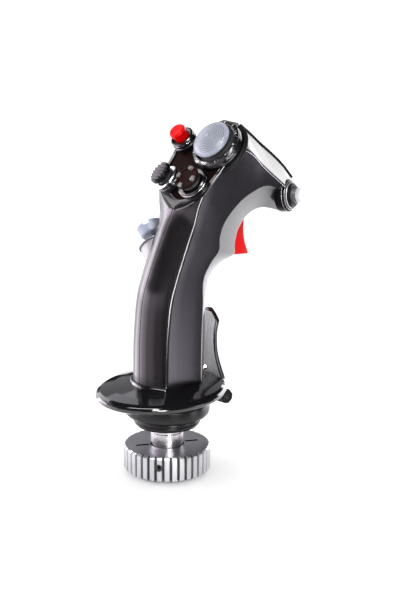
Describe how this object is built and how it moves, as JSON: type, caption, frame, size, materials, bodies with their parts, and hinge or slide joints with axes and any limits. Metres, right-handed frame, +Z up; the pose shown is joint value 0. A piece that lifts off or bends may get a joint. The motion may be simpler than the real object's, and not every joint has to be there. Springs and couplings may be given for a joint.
{
  "type": "flight joystick grip",
  "caption": "Handheld flight joystick grip with angled head, four hats, red push button, trigger, paddle lever, oval hand rest and threaded coupling nut.",
  "frame": {"origin": "on the coupling nut axis at the nut bottom face, where the grip sits on its base", "axes": "+Z up along the neck, +Y forwards to the nose of the head, +X to the pilot's right"},
  "size_m": [0.064, 0.1317, 0.1923],
  "materials": {
    "satin_black": "satin",
    "panel_brown": "matte",
    "gloss_black": "gloss",
    "disc_black": "satin",
    "aluminium": "brushed",
    "steel": "brushed",
    "dark_metal": "satin",
    "insulator": "matte",
    "contacts": "polished",
    "board": "satin",
    "harness": "matte",
    "switch_black": "matte",
    "rubber": "matte",
    "signal_red": "satin",
    "pale_cap": "satin",
    "brown_cap": "satin",
    "blue_grey_cap": "satin",
    "polished_steel": "polished"
  },
  "bodies": {
    "grip": {"grip_shell_left": "satin_black", "grip_shell_right": "satin_black", "head_panel": "panel_brown", "handrest_flange": "gloss_black", "upper_disc": "disc_black", "lower_disc": "disc_black", "neck_tube": "steel", "connector_insert": "insulator", "connector_pins": "contacts", "index_key": "steel", "circuit_board": "board", "wire_harness": "harness", "shell_screws": "steel", "trigger_pin": "steel", "trigger_spring": "steel", "trigger_switch": "switch_black", "paddle_bracket": "dark_metal", "bracket_screws": "steel", "paddle_pin": "steel", "plunger_bush": "steel", "paddle_spring": "steel", "paddle_switch": "switch_black", "trim_hat_bezel": "dark_metal", "trim_hat_boot": "rubber", "trim_hat_housing": "dark_metal", "trim_hat_switch": "board", "target_hat_collar": "dark_metal", "target_hat_housing": "switch_black", "target_hat_switch": "board", "display_hat_collar": "steel", "display_hat_housing": "dark_metal", "display_hat_switch": "board", "side_hat_plate": "steel", "side_hat_boot": "rubber", "side_hat_housing": "dark_metal", "side_hat_switch": "board", "release_collar": "dark_metal", "release_spring": "steel", "release_switch": "board", "nose_collar": "dark_metal", "nose_spring": "steel", "nose_switch": "board"},
    "nut": {"coupling_nut": "aluminium", "nut_set_screw": "dark_metal"},
    "trigger": {"trigger": "signal_red"},
    "paddle": {"paddle_lever": "dark_metal"},
    "plunger": {"paddle_plunger": "steel"},
    "trim_gimbal": {"trim_hat_gimbal": "steel"},
    "trim_cap": {"trim_hat_cap": "pale_cap", "trim_hat_stem": "steel"},
    "target_gimbal": {"target_hat_gimbal": "steel"},
    "target_cap": {"target_hat_cap": "brown_cap"},
    "display_gimbal": {"display_hat_gimbal": "steel"},
    "display_cap": {"display_hat_cap": "dark_metal"},
    "side_gimbal": {"side_hat_gimbal": "steel"},
    "side_stem": {"side_hat_stem": "steel"},
    "side_cap": {"side_hat_cap": "blue_grey_cap"},
    "release_button": {"release_button": "signal_red"},
    "nose_button": {"nose_button": "polished_steel"}
  },
  "joints": [
    {"name": "nut_spin", "type": "hinge", "parent": "grip", "child": "nut", "pos_m": [0, 0, 0], "axis": [0, 0, 1], "continuous": true},
    {"name": "trigger_pull", "type": "hinge", "parent": "grip", "child": "trigger", "pos_m": [0, 0.045, 0.142], "axis": [-1, 0, 0], "range_deg": [0, 10], "stiffness_Nm_per_rad": 0.3, "deforming": ["trigger_spring"]},
    {"name": "paddle_squeeze", "type": "hinge", "parent": "grip", "child": "paddle", "pos_m": [0, 0.036, 0.037], "axis": [1, 0, 0], "range_deg": [0, 5.5], "stiffness_Nm_per_rad": 0.3},
    {"name": "plunger_slide", "type": "slide", "parent": "grip", "child": "plunger", "axis": [0, -1, 0], "range_m": [0, 0.0018], "deforming": ["paddle_spring"]},
    {"name": "trim_tilt_fore", "type": "hinge", "parent": "grip", "child": "trim_gimbal", "pos_m": [0.0065, 0.03608, 0.17403], "axis": [1, 0, 0], "range_deg": [-6, 6], "stiffness_Nm_per_rad": 0.08},
    {"name": "trim_tilt_side", "type": "hinge", "parent": "trim_gimbal", "child": "trim_cap", "pos_m": [0.0065, 0.03608, 0.17403], "axis": [0, 0.6691, 0.7431], "range_deg": [-6, 6], "stiffness_Nm_per_rad": 0.08},
    {"name": "target_tilt_fore", "type": "hinge", "parent": "grip", "child": "target_gimbal", "pos_m": [0.004, 0.02002, 0.15619], "axis": [1, 0, 0], "range_deg": [-8, 8], "stiffness_Nm_per_rad": 0.05},
    {"name": "target_tilt_side", "type": "hinge", "parent": "target_gimbal", "child": "target_cap", "pos_m": [0.004, 0.02002, 0.15619], "axis": [0, 0.6691, 0.7431], "range_deg": [-8, 8], "stiffness_Nm_per_rad": 0.05},
    {"name": "display_tilt_fore", "type": "hinge", "parent": "grip", "child": "display_gimbal", "pos_m": [-0.01211, 0.0161, 0.1573], "axis": [0.9613, -0.2048, 0.1844], "range_deg": [-8, 8], "stiffness_Nm_per_rad": 0.05},
    {"name": "display_tilt_side", "type": "hinge", "parent": "display_gimbal", "child": "display_cap", "pos_m": [-0.01211, 0.0161, 0.1573], "axis": [0, 0.6691, 0.7431], "range_deg": [-8, 8], "stiffness_Nm_per_rad": 0.05},
    {"name": "side_tilt_fore", "type": "hinge", "parent": "grip", "child": "side_gimbal", "pos_m": [-0.01185, 0.00602, 0.12042], "axis": [-0.7084, 0.1249, -0.6947], "range_deg": [-8, 8], "stiffness_Nm_per_rad": 0.05},
    {"name": "side_tilt_side", "type": "hinge", "parent": "side_gimbal", "child": "side_stem", "pos_m": [-0.01185, 0.00602, 0.12042], "axis": [-0.1736, -0.9848, 0], "range_deg": [-8, 8], "stiffness_Nm_per_rad": 0.05},
    {"name": "side_push", "type": "slide", "parent": "side_stem", "child": "side_cap", "axis": [0.6841, -0.1206, -0.7193], "range_m": [0, 0.001], "stiffness_N_per_m": 300},
    {"name": "release_push", "type": "slide", "parent": "grip", "child": "release_button", "axis": [0, 0.6691, -0.7431], "range_m": [0, 0.0015], "stiffness_N_per_m": 300, "deforming": ["release_spring"]},
    {"name": "nose_push", "type": "slide", "parent": "grip", "child": "nose_button", "axis": [-0.9305, -0.3387, -0.1392], "range_m": [0, 0.0015], "stiffness_N_per_m": 300, "deforming": ["nose_spring"]}
  ],
  "couplings": [
    {"joint": "plunger_slide", "follows": "paddle_squeeze", "m_per_rad": 0.0176}
  ]
}
